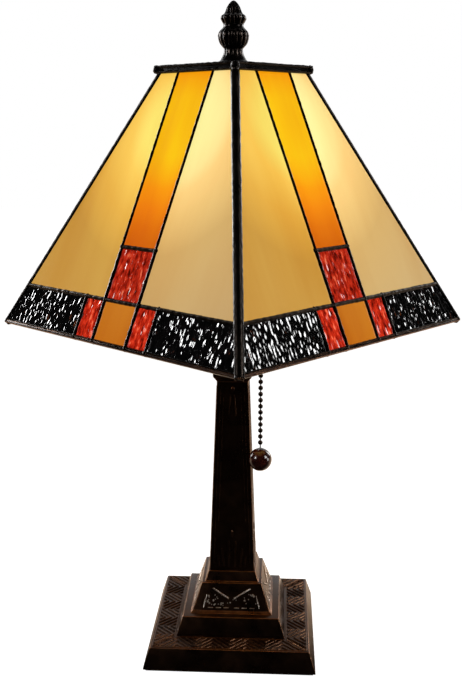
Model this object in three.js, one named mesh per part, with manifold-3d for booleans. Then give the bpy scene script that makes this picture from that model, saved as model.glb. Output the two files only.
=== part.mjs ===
// Stained glass table lamp: a square cast base and tapered column carry a pull-chain socket, a wire
// harp and a four-sided leaded glass shade held down by a finial. Millimetres, +Z up. The origin is
// the centre of the base's underside, and the base's sides run along X and Y.
import * as THREE from 'three';
import { mergeVertices } from 'three/addons/utils/BufferGeometryUtils.js';
import Module from 'manifold-3d';

// ---- clearances ----
const seatGap = 0.3;            // between faces that rest on each other
const pipeClearance = 0.5;      // lamp pipe in its bores
const turnClearance = 0.4;      // threads, stud and ferrules, radially

// ---- base and column: half widths of square sections, and heights ----
const feltHalf = 62.6;
const feltThickness = 1.2;
const plinthFootHalf = 64.5;
const plinthTopHalf = 59.6;
const plinthHeight = 15.4;
const plinthWall = 4;
const stepFootHalf = 41.4;
const stepTopHalf = 36.8;
const stepHeight = 13.8;
const blockFilletHalf = 31;
const blockFilletHeight = 1.7;
const blockFootHalf = 29.9;
const blockTopHalf = 23;
const blockHeight = 20.1;
const collarFootHalf = 20.7;
const collarTopHalf = 18.3;
const collarHeight = 7.7;
const pedestalWall = 3.5;
const columnFootHalf = 17.4;
const columnHeadHalf = 11.8;
const columnShaftHeight = 150;
const columnCrownHalf = 14.6;
const columnCrownHeight = 8;
const columnWall = 3;

// ---- centre hardware ----
const pipeRadius = 5;
const pipeWall = 1.2;
const nutAcross = 18;
const nutHeight = 5;
const neckHeight = 30.1;
const neckWaistRadius = 7.6;
const neckRimRadius = 12.5;
const bushingBore = 6;
const bushingWall = 1.2;
const bushingFlange = 1.6;
const bushingWeb = 1.2;         // of plinth wall below the bushing

// ---- harp ----
const wireRadius = 1.8;
const saddleThickness = 1.6;
const saddleWeb = 2.5;           // beside the pipe's hole
const harpFootX = 31;
const harpBellyX = 54;
const harpHeight = 186.6;
const ferruleHeight = 14;
const ferruleWall = 1.5;
const studRadius = 3.1;
const studLength = 12;
const restRadius = 8;
const restThickness = 2;

// ---- socket and bulb ----
const socketWall = 0.8;
const socketAir = 1.9;          // between screw shell and socket shell
const socketCapHeight = 14.8;
const socketShellHeight = 46;
const switchBodyHeight = 21;
const screwShellWall = 1;
const bulbThreadRadius = 13.1;
const bulbBaseHeight = 22.6;
const bulbRadius = 30;
const bulbHeight = 90;
const bulbWall = 1;

// ---- pull chain ----
const pullAzimuth = THREE.MathUtils.degToRad(-51.4);
const pullReach = 34.4;
const mouthHeight = 11;         // of the arm's middle above the socket shell's foot
const mouthDrop = 16;
const beadRadius = 1.6;
const beadSpacing = 1.45;       // between neighbouring beads
const chainLinkRadius = 0.45;
const upperBeads = 9;
const lowerBeads = 14;
const ballRadius = 8.6;

// ---- shade ----
const shadeTurn = THREE.MathUtils.degToRad(49.1);
const rimHalf = 121.4;
const shadeNeckHalf = 38.2;
const shadeHeight = 179;
const cameDepth = 4.4;
const leadHalf = 1.4;
const ridgeInset = 4.5;
const rimBar = 3;
const glassThickness = 3;
const stripHalf = 17.1;
const squareWidth = 19.9;
const borderHeight = 31.4;
const redHeight = 38;
const capSkirt = 4.3;
const capPlate = 1.5;
const capTaper = 0.9;

// ---- finial: radii up its profile, and height ----
const finialHeight = 42.8;
const finialFootRadius = 11;
const finialNeckRadius = 6.7;
const finialLowerRadius = 11.1;
const finialWaistRadius = 6.8;
const finialUpperRadius = 8.8;

// ---- sizes that follow from others ----
const boreHalf = pipeRadius + pipeClearance;
const saddleWidth = 2 * (boreHalf + saddleWeb);
const socketRadius = bulbThreadRadius + turnClearance + screwShellWall + socketAir + socketWall;
const beadPitch = 2 * beadRadius + beadSpacing;

// ---- levels up the lamp ----
const plinthFootZ = feltThickness + seatGap;
const plinthTopZ = plinthFootZ + plinthHeight;
const pedestalFootZ = plinthTopZ + seatGap;
const stepTopZ = pedestalFootZ + stepHeight;
const blockTopZ = stepTopZ + blockFilletHeight + blockHeight;
const pedestalTopZ = blockTopZ + collarHeight;
const columnFootZ = pedestalTopZ + seatGap;
const shaftTopZ = columnFootZ + columnShaftHeight;
const columnTopZ = shaftTopZ + columnCrownHeight;
const neckFootZ = columnTopZ + seatGap;
const neckTopZ = neckFootZ + neckHeight;
const saddleZ = neckTopZ + seatGap;
const saddleTopZ = saddleZ + saddleThickness;
const socketCapZ = saddleTopZ + seatGap;
const socketShellZ = socketCapZ + socketCapHeight + seatGap;
const socketTopZ = socketShellZ + socketShellHeight;
const switchBodyZ = socketShellZ + seatGap;
const screwShellZ = switchBodyZ + switchBodyHeight;
const bulbBaseZ = screwShellZ + 2 * seatGap + turnClearance;
const bulbFootZ = bulbBaseZ + bulbBaseHeight;
const harpTopZ = saddleTopZ + harpHeight;
const capPlateZ = harpTopZ + seatGap;
const capTopZ = capPlateZ + capPlate;
const shadeNeckZ = capPlateZ - capSkirt;
const rimZ = shadeNeckZ - shadeHeight;
const finialZ = capTopZ + seatGap;

const wasm = await Module();
wasm.setup();

// ---- solids ----

function toSolid(geometry) {
  const bare = geometry.clone();
  bare.deleteAttribute('normal');
  bare.deleteAttribute('uv');
  const merged = mergeVertices(bare, 1e-4);
  return new wasm.Manifold(new wasm.Mesh({
    numProp: 3,
    vertProperties: Float32Array.from(merged.attributes.position.array),
    triVerts: Uint32Array.from(merged.index.array),
  }));
}

function toGeometry(solid) {
  const mesh = solid.getMesh();
  const geometry = new THREE.BufferGeometry();
  geometry.setAttribute('position', new THREE.BufferAttribute(mesh.vertProperties, 3));
  geometry.setIndex(new THREE.BufferAttribute(mesh.triVerts, 1));
  geometry.computeVertexNormals();
  return geometry;
}

function join(first, ...others) {
  return toGeometry(others.reduce((solid, other) => solid.add(toSolid(other)), toSolid(first)));
}

function cut(body, ...tools) {
  return toGeometry(tools.reduce((solid, tool) => solid.subtract(toSolid(tool)), toSolid(body)));
}

const point = (x, y) => new THREE.Vector2(x, y);

// A profile of [radius, z] points turned about Z; a ring's profile closes on itself.
function turned(profile, segments) {
  const outline = profile.map(([radius, z]) => point(radius, z));
  return new THREE.LatheGeometry(outline, segments).rotateX(Math.PI / 2);
}

function turnedRing(profile, segments) {
  return turned([...profile, profile[0]], segments);
}

// The same with a square section: the profile holds half widths instead of radii.
function squareRing(profile) {
  const outline = profile.map(([half, z]) => [half * Math.SQRT2, z]);
  return turnedRing(outline, 4).rotateZ(Math.PI / 4);
}

function rod(radius, fromZ, toZ, segments = 16) {
  const height = toZ - fromZ;
  const cylinder = new THREE.CylinderGeometry(radius, radius, height, segments);
  return cylinder.rotateX(Math.PI / 2).translate(0, 0, fromZ + height / 2);
}

function prism(corners, height) {
  return new THREE.ExtrudeGeometry(new THREE.Shape(corners), { depth: height, bevelEnabled: false });
}

function swept(section, path, steps) {
  return new THREE.ExtrudeGeometry(section, { extrudePath: path, steps, bevelEnabled: false });
}

function disc(radius, sides) {
  const corners = [];
  for (let i = 0; i < sides; i += 1) {
    const angle = (2 * Math.PI * i) / sides;
    corners.push(point(radius * Math.cos(angle), radius * Math.sin(angle)));
  }
  return corners;
}

// ---- finishes ----

const finishes = {
  castBronze: { color: 0x1c1410, roughness: 0.42, metalness: 0.6 },
  patinaLead: { color: 0x17120f, roughness: 0.4, metalness: 0.7 },
  brass: { color: 0xb08d4a, roughness: 0.35, metalness: 1 },
  steel: { color: 0x8c8c8c, roughness: 0.4, metalness: 1 },
  felt: { color: 0x15130f, roughness: 1, metalness: 0 },
  phenolic: { color: 0x171412, roughness: 0.5, metalness: 0 },
  chainBronze: { color: 0x2a1d16, roughness: 0.35, metalness: 0.8 },
  ballBrown: { color: 0x2d1410, roughness: 0.18, metalness: 0.2 },
  bulbGlass: { color: 0xfff1cf, roughness: 0.3, metalness: 0 },
  creamGlass: { color: 0xf2d489, roughness: 0.25, metalness: 0 },
  amberGlass: { color: 0xf29a12, roughness: 0.25, metalness: 0 },
  orangeGlass: { color: 0xc67a1c, roughness: 0.25, metalness: 0 },
  redGlass: { color: 0x8c2110, roughness: 0.2, metalness: 0 },
  darkGlass: { color: 0x0d0b0b, roughness: 0.12, metalness: 0 },
};

function piece(name, geometry, finish) {
  const mesh = new THREE.Mesh(geometry, new THREE.MeshStandardMaterial(finishes[finish]));
  mesh.name = name;
  return mesh;
}

// ---- base ----

function felt() {
  const half = feltHalf;
  const corners = [point(-half, -half), point(half, -half), point(half, half), point(-half, half)];
  return prism(corners, feltThickness);
}

const plinthSlope = (plinthFootHalf - plinthTopHalf) / plinthHeight;
const bushingRadius = bushingBore / 2 + bushingWall;
const inletRadius = bushingRadius + seatGap;
const inletZ = plinthFootZ + bushingWeb + inletRadius;
const inletY = plinthFootHalf - plinthSlope * (inletZ - plinthFootZ);

// An upside-down dish, with a hole for the cord bushing in its back wall.
function plinth() {
  const ceilingZ = plinthTopZ - plinthWall;
  const ceilingHalf = plinthTopHalf + plinthSlope * plinthWall - plinthWall;
  const dish = squareRing([
    [plinthFootHalf, plinthFootZ], [plinthTopHalf, plinthTopZ], [boreHalf, plinthTopZ],
    [boreHalf, ceilingZ], [ceilingHalf, ceilingZ], [plinthFootHalf - plinthWall, plinthFootZ],
  ]);
  const hole = rod(inletRadius, 0, 3 * plinthWall);
  hole.rotateX(-Math.PI / 2).translate(0, inletY - 2 * plinthWall, inletZ);
  return cut(dish, hole);
}

// A flanged insulating ring through the back wall, where a mains lead would come in.
function cordBushing() {
  const bore = bushingBore / 2;
  const flangeRadius = bushingRadius + bushingFlange;
  const flangeBack = plinthSlope * flangeRadius + seatGap;
  const ring = turnedRing([
    [bore, -2 * plinthWall], [bushingRadius, -2 * plinthWall], [bushingRadius, flangeBack],
    [flangeRadius, flangeBack], [flangeRadius, flangeBack + bushingWall],
    [bore, flangeBack + bushingWall],
  ], 16);
  return ring.rotateX(-Math.PI / 2).translate(0, inletY, inletZ);
}

// Wide step, fillet, sloping block and collar, cast in one and hollow from below.
function pedestal() {
  const blockFootZ = stepTopZ + blockFilletHeight;
  const roofZ = pedestalTopZ - pedestalWall;
  return squareRing([
    [stepFootHalf, pedestalFootZ], [stepTopHalf, stepTopZ], [blockFilletHalf, stepTopZ],
    [blockFilletHalf, blockFootZ - blockFilletHeight / 3], [blockFootHalf, blockFootZ],
    [blockTopHalf, blockTopZ], [collarFootHalf, blockTopZ], [collarTopHalf, pedestalTopZ],
    [boreHalf, pedestalTopZ], [boreHalf, roofZ], [collarTopHalf - pedestalWall, roofZ],
    [blockTopHalf - pedestalWall, blockTopZ - pedestalWall],
    [blockFootHalf - pedestalWall, stepTopZ - pedestalWall],
    [stepTopHalf - pedestalWall, stepTopZ - pedestalWall],
    [stepFootHalf - pedestalWall, pedestalFootZ],
  ]);
}

function column() {
  const crownBellyZ = shaftTopZ + columnCrownHeight / 2;
  const roofZ = columnTopZ - columnWall;
  return squareRing([
    [columnFootHalf, columnFootZ], [columnHeadHalf, shaftTopZ], [columnCrownHalf, crownBellyZ],
    [columnCrownHalf, columnTopZ], [boreHalf, columnTopZ], [boreHalf, roofZ],
    [columnHeadHalf - columnWall, roofZ - columnWall],
    [columnFootHalf - columnWall, columnFootZ],
  ]);
}

// ---- centre hardware ----

const pipeFootZ = plinthTopZ - plinthWall - seatGap - nutHeight - pipeWall;
const socketNeckHeight = 4.5;

function lampPipe() {
  const topZ = socketCapZ + socketNeckHeight - seatGap;
  const inner = pipeRadius - pipeWall;
  return turnedRing([[inner, pipeFootZ], [pipeRadius, pipeFootZ], [pipeRadius, topZ], [inner, topZ]], 16);
}

function baseNut() {
  const topZ = plinthTopZ - plinthWall - seatGap;
  const hexagon = prism(disc(nutAcross / Math.sqrt(3), 6), nutHeight).translate(0, 0, topZ - nutHeight);
  const thread = rod(pipeRadius + turnClearance, topZ - 2 * nutHeight, topZ + nutHeight);
  return cut(hexagon, thread);
}

// A turned baluster between the column's crown and the harp saddle.
function neck() {
  const flank = new THREE.SplineCurve([
    point(neckRimRadius, neckFootZ), point(neckRimRadius, neckFootZ + 0.12 * neckHeight),
    point(neckWaistRadius, neckFootZ + 0.38 * neckHeight),
    point(neckWaistRadius + 0.6, neckFootZ + 0.62 * neckHeight),
    point(neckRimRadius - 0.5, neckFootZ + 0.88 * neckHeight), point(neckRimRadius - 0.5, neckTopZ),
  ]).getPoints(11).map(({ x, y }) => [x, y]);
  flank[0][1] = neckFootZ;
  return turnedRing([[boreHalf, neckFootZ], ...flank, [boreHalf, neckTopZ]], 16);
}

// ---- harp ----

const saddleRise = 5;
const pinHeight = 6;
const saddleArmZ = saddleTopZ + saddleRise;
const harpFootZ = saddleArmZ + pinHeight + seatGap;

// A bent strip under the socket, with a pin at each end for the harp's feet.
function harpSaddle() {
  const inner = harpFootX - wireRadius;
  const outer = harpFootX + wireRadius;
  const strip = new THREE.Shape([
    point(-outer, saddleZ + saddleRise / 2), point(-inner, saddleZ), point(inner, saddleZ),
    point(outer, saddleZ + saddleRise / 2), point(outer, saddleArmZ), point(inner, saddleArmZ),
    point(inner, saddleTopZ + saddleRise / 2), point(inner - saddleRise, saddleTopZ),
    point(saddleRise - inner, saddleTopZ), point(-inner, saddleTopZ + saddleRise / 2),
    point(-inner, saddleArmZ), point(-outer, saddleArmZ),
  ]);
  const bent = new THREE.ExtrudeGeometry(strip, { depth: saddleWidth, bevelEnabled: false });
  bent.rotateX(Math.PI / 2).translate(0, saddleWidth / 2, 0);
  const pins = [-1, 1].map((side) => rod(wireRadius, saddleArmZ - 1, saddleArmZ + pinHeight, 12)
    .translate(side * harpFootX, 0, 0));
  const hole = rod(boreHalf, saddleZ - saddleRise, saddleArmZ);
  return cut(join(bent, ...pins), hole);
}

function ferrule(side) {
  const inner = wireRadius + turnClearance;
  const footZ = saddleArmZ + seatGap;
  const topZ = footZ + ferruleHeight;
  const outer = inner + ferruleWall;
  const tube = turnedRing([[inner, footZ], [outer, footZ], [outer, topZ], [inner, topZ]], 16);
  return tube.translate(side * harpFootX, 0, 0);
}

// The wire bow rises straight through the ferrules' travel, bellies out round the bulb and closes
// under the shade cap, where a rest disc and a threaded stud carry the shade and the finial.
function harp() {
  const straight = 2 * ferruleHeight;
  const rise = harpTopZ - restThickness - wireRadius - harpFootZ;
  const half = [
    [harpFootX, 0], [harpFootX, straight / 2], [harpFootX, straight],
    [harpBellyX, 0.46 * rise], [0.9 * harpBellyX, 0.68 * rise], [0.62 * harpBellyX, 0.88 * rise],
    [0.24 * harpBellyX, 0.985 * rise],
  ];
  const right = half.map(([x, z]) => new THREE.Vector3(x, 0, harpFootZ + z));
  const left = half.map(([x, z]) => new THREE.Vector3(-x, 0, harpFootZ + z)).reverse();
  const crown = new THREE.Vector3(0, 0, harpFootZ + rise);
  const path = new THREE.CatmullRomCurve3([...right, crown, ...left]);
  const bow = swept(new THREE.Shape(disc(wireRadius, 8)), path, 44);
  const rest = rod(restRadius, harpTopZ - restThickness - wireRadius, harpTopZ, 20);
  const stud = rod(studRadius, harpTopZ - restThickness, capTopZ + studLength, 12);
  return join(bow, rest, stud);
}

// ---- socket and bulb ----

function socketCap() {
  const neckRadius = pipeRadius + turnClearance + 3;
  const inner = socketRadius - socketWall;
  const rimZ0 = socketCapZ + socketCapHeight;
  const shoulderZ = rimZ0 - 4;
  const neckZ = socketCapZ + socketNeckHeight;
  return turnedRing([
    [pipeRadius + turnClearance, socketCapZ], [neckRadius, socketCapZ], [neckRadius, neckZ - 1],
    [0.8 * socketRadius, neckZ + 2], [socketRadius, shoulderZ], [socketRadius, rimZ0],
    [inner, rimZ0], [inner, shoulderZ], [0.75 * socketRadius, neckZ + 3],
    [neckRadius, neckZ], [pipeRadius + turnClearance, neckZ],
  ], 24);
}

function socketShell() {
  const inner = socketRadius - socketWall;
  return turnedRing([
    [inner, socketShellZ], [socketRadius, socketShellZ], [socketRadius, socketTopZ - 4],
    [socketRadius + 0.8, socketTopZ - 2], [socketRadius, socketTopZ], [inner, socketTopZ],
  ], 24);
}

// The moulded switch body, with the threaded shell for the bulb standing on it.
function socketInterior() {
  const bodyRadius = socketRadius - socketWall - turnClearance;
  const shellInner = bulbThreadRadius + turnClearance;
  const shellOuter = shellInner + screwShellWall;
  const shellTopZ = bulbFootZ - bulbThreadRadius / 4;
  return turned([
    [0, switchBodyZ], [bodyRadius, switchBodyZ], [bodyRadius, screwShellZ - 2],
    [shellOuter, screwShellZ], [shellOuter, shellTopZ], [shellInner, shellTopZ],
    [shellInner, screwShellZ + seatGap], [4, screwShellZ + seatGap], [0, screwShellZ + seatGap],
  ], 24);
}

function bulbBase() {
  const tip = 4.8;
  const shoulderZ = bulbBaseZ + 5;
  return turned([
    [0, bulbBaseZ], [tip, bulbBaseZ], [0.8 * bulbThreadRadius, shoulderZ - 1.5],
    [bulbThreadRadius, shoulderZ], [bulbThreadRadius, bulbFootZ], [0, bulbFootZ],
  ], 20);
}

// The envelope: a round head running down in one curve to the neck, open where the base closes it.
function bulbGlass() {
  const footZ = bulbFootZ + seatGap;
  const headZ = footZ + bulbHeight - bulbRadius;
  const shape = (inset) => {
    const radius = bulbRadius - inset;
    const neckRadius = bulbThreadRadius - inset;
    const flank = new THREE.CubicBezierCurve(
      point(neckRadius, footZ), point(neckRadius, footZ + 0.45 * (headZ - footZ)),
      point(radius, headZ - 0.62 * (headZ - footZ)), point(radius, headZ),
    ).getPoints(5);
    const dome = new THREE.EllipseCurve(0, headZ, radius, radius, 0, Math.PI / 2).getPoints(5);
    return [...flank, ...dome.slice(1)].map(({ x, y }) => [Math.max(x, 0), y]);
  };
  const outer = shape(0);
  const inner = shape(bulbWall).reverse();
  return turnedRing([...outer, ...inner], 18);
}

// ---- pull chain ----

const pullX = pullReach * Math.cos(pullAzimuth);
const pullY = pullReach * Math.sin(pullAzimuth);
const mouthZ = socketShellZ + mouthHeight - mouthDrop;
const topBeadZ = mouthZ + 2 * beadPitch;
const splitZ = topBeadZ - (upperBeads - 0.5) * beadPitch;
const bottomBeadZ = topBeadZ - (upperBeads + lowerBeads - 1) * beadPitch;
const ballZ = bottomBeadZ - beadPitch - ballRadius;

// A tube that leaves the socket level, turns down and ends in the mouth that the chain hangs from.
function bellMouth() {
  const bore = 2 * beadRadius;
  const section = new THREE.Shape(disc(bore + 1, 10));
  section.holes.push(new THREE.Path(disc(bore, 10)));
  const armZ = socketShellZ + mouthHeight;
  const bend = 7.5;
  const path = new THREE.CurvePath();
  const start = new THREE.Vector3(socketRadius + seatGap + 0.2, 0, armZ);
  const bendStart = new THREE.Vector3(pullReach - bend, 0, armZ);
  const corner = new THREE.Vector3(pullReach, 0, armZ);
  const bendEnd = new THREE.Vector3(pullReach, 0, armZ - bend);
  path.add(new THREE.LineCurve3(start, bendStart));
  path.add(new THREE.QuadraticBezierCurve3(bendStart, corner, bendEnd));
  path.add(new THREE.LineCurve3(bendEnd, new THREE.Vector3(pullReach, 0, mouthZ)));
  return swept(section, path, 12).rotateZ(pullAzimuth);
}

// Round beads on a thin wire, turned in one, from the lowest bead's height upwards.
function beadedChain(beads, lowestZ, footZ, topZ) {
  const waist = chainLinkRadius / beadRadius;
  const profile = [[0, footZ], [chainLinkRadius, footZ]];
  for (let bead = 0; bead < beads; bead += 1) {
    for (const angle of [Math.acos(waist), 0.7, 0, -0.7, -Math.acos(waist)]) {
      const height = beadRadius * Math.sin(-angle);
      profile.push([beadRadius * Math.cos(angle), lowestZ + bead * beadPitch + height]);
    }
  }
  profile.push([chainLinkRadius, topZ], [0, topZ]);
  return turned(profile, 6).translate(pullX, pullY, 0);
}

function chainUpper() {
  const lowest = splitZ + beadPitch / 2;
  return beadedChain(upperBeads, lowest, splitZ + seatGap / 2, topBeadZ + beadRadius);
}

function chainLower() {
  const footZ = ballZ + ballRadius + seatGap;
  return beadedChain(lowerBeads, bottomBeadZ, footZ, splitZ - seatGap / 2);
}

function pullBall() {
  const ball = new THREE.SphereGeometry(ballRadius, 16, 12).rotateX(Math.PI / 2);
  return ball.translate(pullX, pullY, ballZ);
}

// ---- shade ----
// A face's own frame: x along the rim to an onlooker's right, y up the slope from the rim, z out.

const spread = rimHalf - shadeNeckHalf;
const slopeLength = Math.hypot(spread, shadeHeight);
const faceLean = Math.atan2(spread, shadeHeight);
const faceHalf = (y) => rimHalf - (spread * y) / slopeLength;
const ridgeLine = (y) => faceHalf(y) - ridgeInset;
const ridgeSlant = Math.hypot(1, spread / slopeLength);

function facePlacement(face) {
  const azimuth = shadeTurn + ((face - 1) * Math.PI) / 2;
  const stand = new THREE.Matrix4().makeBasis(
    new THREE.Vector3(0, 1, 0),
    new THREE.Vector3(-Math.sin(faceLean), 0, Math.cos(faceLean)),
    new THREE.Vector3(Math.cos(faceLean), 0, Math.sin(faceLean)),
  ).setPosition(rimHalf, 0, rimZ);
  return new THREE.Matrix4().makeRotationZ(azimuth).multiply(stand);
}

// Each cell lies between two upright lines and two heights; a line is its distance from the middle.
const borderLine = borderHeight;
const redLine = borderHeight + redHeight;
const squareLine = stripHalf + squareWidth;
const topLine = slopeLength + leadHalf;
const straightLine = (distance) => () => distance;
const cells = [
  { name: 'cream_panel', finish: 'creamGlass', from: stripHalf, bottom: borderLine, top: topLine },
  { name: 'dark_border', finish: 'darkGlass', from: squareLine, bottom: rimBar - leadHalf, top: borderLine },
  {
    name: 'red_square', finish: 'redGlass', from: stripHalf, to: squareLine,
    bottom: rimBar - leadHalf, top: borderLine,
  },
];
const middleCells = [
  { name: 'amber_strip', finish: 'amberGlass', bottom: redLine, top: topLine },
  { name: 'red_panel', finish: 'redGlass', bottom: borderLine, top: redLine },
  { name: 'orange_square', finish: 'orangeGlass', bottom: rimBar - leadHalf, top: borderLine },
];

// The outline of the cell's opening in the leading, drawn in by a margin on every side.
function cellOutline(cell, side, margin) {
  const low = cell.bottom + leadHalf + margin;
  const high = cell.top - leadHalf - margin;
  const near = side ? cell.from + leadHalf + margin : -(stripHalf - leadHalf - margin);
  const farLine = side && !cell.to ? ridgeLine : straightLine((cell.to ?? stripHalf) - leadHalf);
  const farMargin = margin * ridgeSlant;
  const far = (y) => farLine(y) - farMargin;
  const corners = [point(near, low), point(far(low), low), point(far(high), high), point(near, high)];
  return side < 0 ? corners.map(({ x, y }) => point(-x, y)).reverse() : corners;
}

function pane(cell, side) {
  const inset = (cameDepth - glassThickness) / 2;
  return prism(cellOutline(cell, side, seatGap), glassThickness).translate(0, 0, -inset - glassThickness);
}

// The leading: a thin four-sided shell with an opening cut for every pane.
function shadeCame() {
  const wall = cameDepth / Math.cos(faceLean);
  const topZ = capPlateZ - seatGap;
  const topHalf = shadeNeckHalf - (spread * (topZ - shadeNeckZ)) / shadeHeight;
  const shell = squareRing([
    [rimHalf, rimZ], [topHalf, topZ], [topHalf - wall, topZ], [rimHalf - wall, rimZ],
  ]).rotateZ(shadeTurn);
  const openings = [];
  for (let face = 0; face < 4; face += 1) {
    const placement = facePlacement(face);
    const drill = (cell, side) => prism(cellOutline(cell, side, 0), 3 * cameDepth)
      .translate(0, 0, -2 * cameDepth).applyMatrix4(placement);
    openings.push(...middleCells.map((cell) => drill(cell, 0)));
    openings.push(...cells.flatMap((cell) => [drill(cell, -1), drill(cell, 1)]));
  }
  return cut(shell, ...openings);
}

// A square pan over the shade's neck, with a round hole for the harp's stud.
function shadeCap() {
  const wall = 1.2;
  const footHalf = shadeNeckHalf + seatGap + 0.1 + wall;
  const topHalf = footHalf - capTaper;
  const pan = squareRing([
    [footHalf, shadeNeckZ], [topHalf, capTopZ], [1, capTopZ], [1, capPlateZ],
    [topHalf - wall, capPlateZ], [footHalf - wall, shadeNeckZ],
  ]).rotateZ(shadeTurn);
  return cut(pan, rod(studRadius + turnClearance, shadeNeckZ, capTopZ + capPlate));
}

function shadeFace(face) {
  const panel = new THREE.Group();
  panel.applyMatrix4(facePlacement(face));
  const number = face + 1;
  for (const cell of middleCells) {
    panel.add(piece(`${cell.name}_${number}`, pane(cell, 0), cell.finish));
  }
  for (const cell of cells) {
    panel.add(piece(`${cell.name}_left_${number}`, pane(cell, -1), cell.finish));
    panel.add(piece(`${cell.name}_right_${number}`, pane(cell, 1), cell.finish));
  }
  return panel;
}

// ---- finial ----

// Flared foot, neck, full lower bulb, waist, narrower upper bulb and a pointed tip, bored for the stud.
function finial() {
  const bore = studRadius + turnClearance;
  const boreDepth = studLength + seatGap;
  const up = (share) => finialZ + share * finialHeight;
  const flank = new THREE.SplineCurve([
    point(finialFootRadius, up(0.03)), point(0.69 * finialFootRadius, up(0.17)),
    point(finialNeckRadius, up(0.25)), point(0.8 * finialLowerRadius, up(0.335)),
    point(finialLowerRadius, up(0.435)), point(0.8 * finialLowerRadius, up(0.55)),
    point(finialWaistRadius, up(0.62)), point(finialUpperRadius, up(0.72)),
    point(0.73 * finialUpperRadius, up(0.8)), point(0.6 * finialUpperRadius, up(0.87)),
    point(0.27 * finialUpperRadius, up(0.965)),
  ]).getPoints(22).map(({ x, y }) => [x, y]);
  return turned([
    [0, finialZ + boreDepth + bore / 2], [bore, finialZ + boreDepth], [bore, finialZ],
    [finialFootRadius, finialZ], ...flank, [0, up(1)],
  ], 16);
}

// ---- assembly ----

function baseGroup() {
  const base = new THREE.Group();
  base.add(piece('base_felt', felt(), 'felt'));
  base.add(piece('base_plinth', plinth(), 'castBronze'));
  base.add(piece('cord_bushing', cordBushing(), 'phenolic'));
  base.add(piece('base_pedestal', pedestal(), 'castBronze'));
  base.add(piece('column', column(), 'castBronze'));
  base.add(piece('column_neck', neck(), 'castBronze'));
  base.add(piece('lamp_pipe', lampPipe(), 'steel'));
  base.add(piece('base_nut', baseNut(), 'steel'));
  return base;
}

function lightGroup() {
  const light = new THREE.Group();
  light.add(piece('harp_saddle', harpSaddle(), 'brass'));
  light.add(piece('harp', harp(), 'brass'));
  light.add(piece('harp_ferrule_left', ferrule(-1), 'brass'));
  light.add(piece('harp_ferrule_right', ferrule(1), 'brass'));
  light.add(piece('socket_cap', socketCap(), 'brass'));
  light.add(piece('socket_shell', socketShell(), 'brass'));
  light.add(piece('socket_interior', socketInterior(), 'phenolic'));
  light.add(piece('bulb_base', bulbBase(), 'steel'));
  light.add(piece('bulb_glass', bulbGlass(), 'bulbGlass'));
  light.add(piece('bell_mouth', bellMouth(), 'brass'));
  light.add(piece('chain_upper', chainUpper(), 'chainBronze'));
  light.add(piece('chain_lower', chainLower(), 'chainBronze'));
  light.add(piece('pull_ball', pullBall(), 'ballBrown'));
  return light;
}

function shadeGroup() {
  const shade = new THREE.Group();
  shade.add(piece('shade_came', shadeCame(), 'patinaLead'));
  shade.add(piece('shade_cap', shadeCap(), 'patinaLead'));
  for (let face = 0; face < 4; face += 1) {
    shade.add(shadeFace(face));
  }
  return shade;
}

const group = new THREE.Group();
group.add(baseGroup());
group.add(lightGroup());
group.add(shadeGroup());
group.add(piece('finial', finial(), 'castBronze'));

export default group;
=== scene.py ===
"""The looks of a stained glass table lamp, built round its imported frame. Metres, +Z up."""
import math
import random

import bmesh
import bpy
from mathutils import Matrix, Vector, noise


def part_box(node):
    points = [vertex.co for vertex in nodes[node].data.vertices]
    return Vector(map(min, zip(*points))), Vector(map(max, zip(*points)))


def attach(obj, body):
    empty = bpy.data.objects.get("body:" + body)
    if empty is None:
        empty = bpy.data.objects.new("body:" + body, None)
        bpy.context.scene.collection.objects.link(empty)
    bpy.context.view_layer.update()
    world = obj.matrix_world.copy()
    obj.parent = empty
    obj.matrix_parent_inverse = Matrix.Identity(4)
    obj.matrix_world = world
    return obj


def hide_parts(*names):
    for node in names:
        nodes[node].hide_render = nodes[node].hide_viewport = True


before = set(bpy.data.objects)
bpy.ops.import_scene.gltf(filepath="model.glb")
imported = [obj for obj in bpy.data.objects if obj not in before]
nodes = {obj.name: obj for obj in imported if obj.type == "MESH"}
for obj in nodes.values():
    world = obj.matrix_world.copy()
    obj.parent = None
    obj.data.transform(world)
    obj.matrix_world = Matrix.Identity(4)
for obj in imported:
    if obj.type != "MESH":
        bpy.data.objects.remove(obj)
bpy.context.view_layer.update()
MM = 0.001
QUARTER = math.pi / 2


# ---- camera ----

def make_camera():
    """Stands in front of the lamp at shade height, looking slightly down."""
    data = bpy.data.cameras.new("camera")
    data.lens = 50.91
    data.shift_x = 0.0011
    camera = bpy.data.objects.new("camera", data)
    camera.location = (0.03586, -0.7062, 0.39716)
    camera.rotation_euler = (QUARTER - 0.218, 0, 0.054)
    bpy.context.scene.collection.objects.link(camera)
    bpy.context.scene.camera = camera


make_camera()


# ---- sizes of the shade, in its faces' own frame: x along the rim, y up the slope, z out ----

SHADE_TURN = math.radians(49.1)
RIM_HALF = 121.4 * MM
NECK_HALF = 38.2 * MM
RIM_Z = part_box("shade_came")[0].z
NECK_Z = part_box("shade_cap")[0].z
SHADE_HEIGHT = NECK_Z - RIM_Z
SPREAD = RIM_HALF - NECK_HALF
LEAN = math.atan2(SPREAD, SHADE_HEIGHT)
SLOPE = math.hypot(SPREAD, SHADE_HEIGHT)
STRIP_LINE = 17.1 * MM
SQUARE_LINE = 37.0 * MM
BORDER_LINE = 31.4 * MM
RED_LINE = 69.4 * MM
GLASS_DEPTH = 0.7 * MM           # from the leading's outer plane down to the glass
GLASS_THICKNESS = 3 * MM
LEAD_DEPTH = 2.2 * MM            # of a lead's middle
BULB_RADIUS = 30 * MM
BULB_CENTRE = Vector((0, 0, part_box("bulb_glass")[1].z - BULB_RADIUS))


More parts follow.
